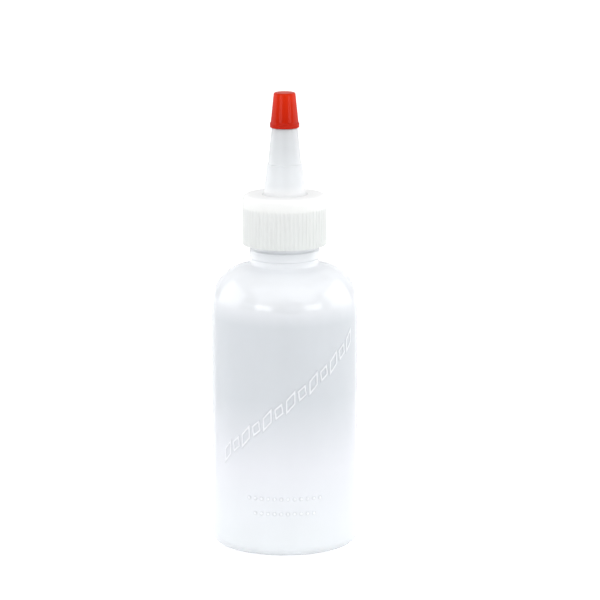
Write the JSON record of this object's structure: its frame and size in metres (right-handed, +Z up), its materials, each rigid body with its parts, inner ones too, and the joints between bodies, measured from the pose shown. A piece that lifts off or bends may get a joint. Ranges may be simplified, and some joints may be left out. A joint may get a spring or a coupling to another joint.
{
  "type": "glue applicator bottle",
  "caption": "Translucent squeeze bottle with a domed shoulder, ribbed screw cap, tapered dispensing spout and push-on tip cap.",
  "frame": {"origin": "centre of the bottle's standing ring, on the surface it stands on", "axes": "+Z up the bottle's axis towards the tip cap, -Y is the front with the raised pattern, +X is the front's right"},
  "size_m": [0.0484, 0.0487, 0.1509],
  "materials": {
    "natural_ldpe": "translucent satin low-density polyethylene",
    "white_cap_plastic": "milky satin polypropylene",
    "spout_plastic": "translucent satin polyethylene",
    "red_tip_plastic": "glossy translucent red-orange vinyl"
  },
  "bodies": {
    "bottle": {"bottle": "natural_ldpe"},
    "spout": {"spout": "spout_plastic"},
    "screw_cap": {"screw_cap": "white_cap_plastic"},
    "tip_cap": {"tip_cap": "red_tip_plastic"}
  },
  "joints": [
    {"name": "spout_rise", "type": "slide", "parent": "bottle", "child": "spout", "axis": [0, 0, 1], "range_m": [0, 0.00476]},
    {"name": "cap_turn", "type": "hinge", "parent": "spout", "child": "screw_cap", "pos_m": [0, 0, 0.108], "axis": [0, 0, 1], "range_deg": [0, 540]},
    {"name": "tip_pull", "type": "slide", "parent": "spout", "child": "tip_cap", "axis": [0, 0, 1], "range_m": [0, 0.012]}
  ],
  "couplings": [
    {"joint": "spout_rise", "follows": "cap_turn", "m_per_rad": 0.0005053}
  ]
}
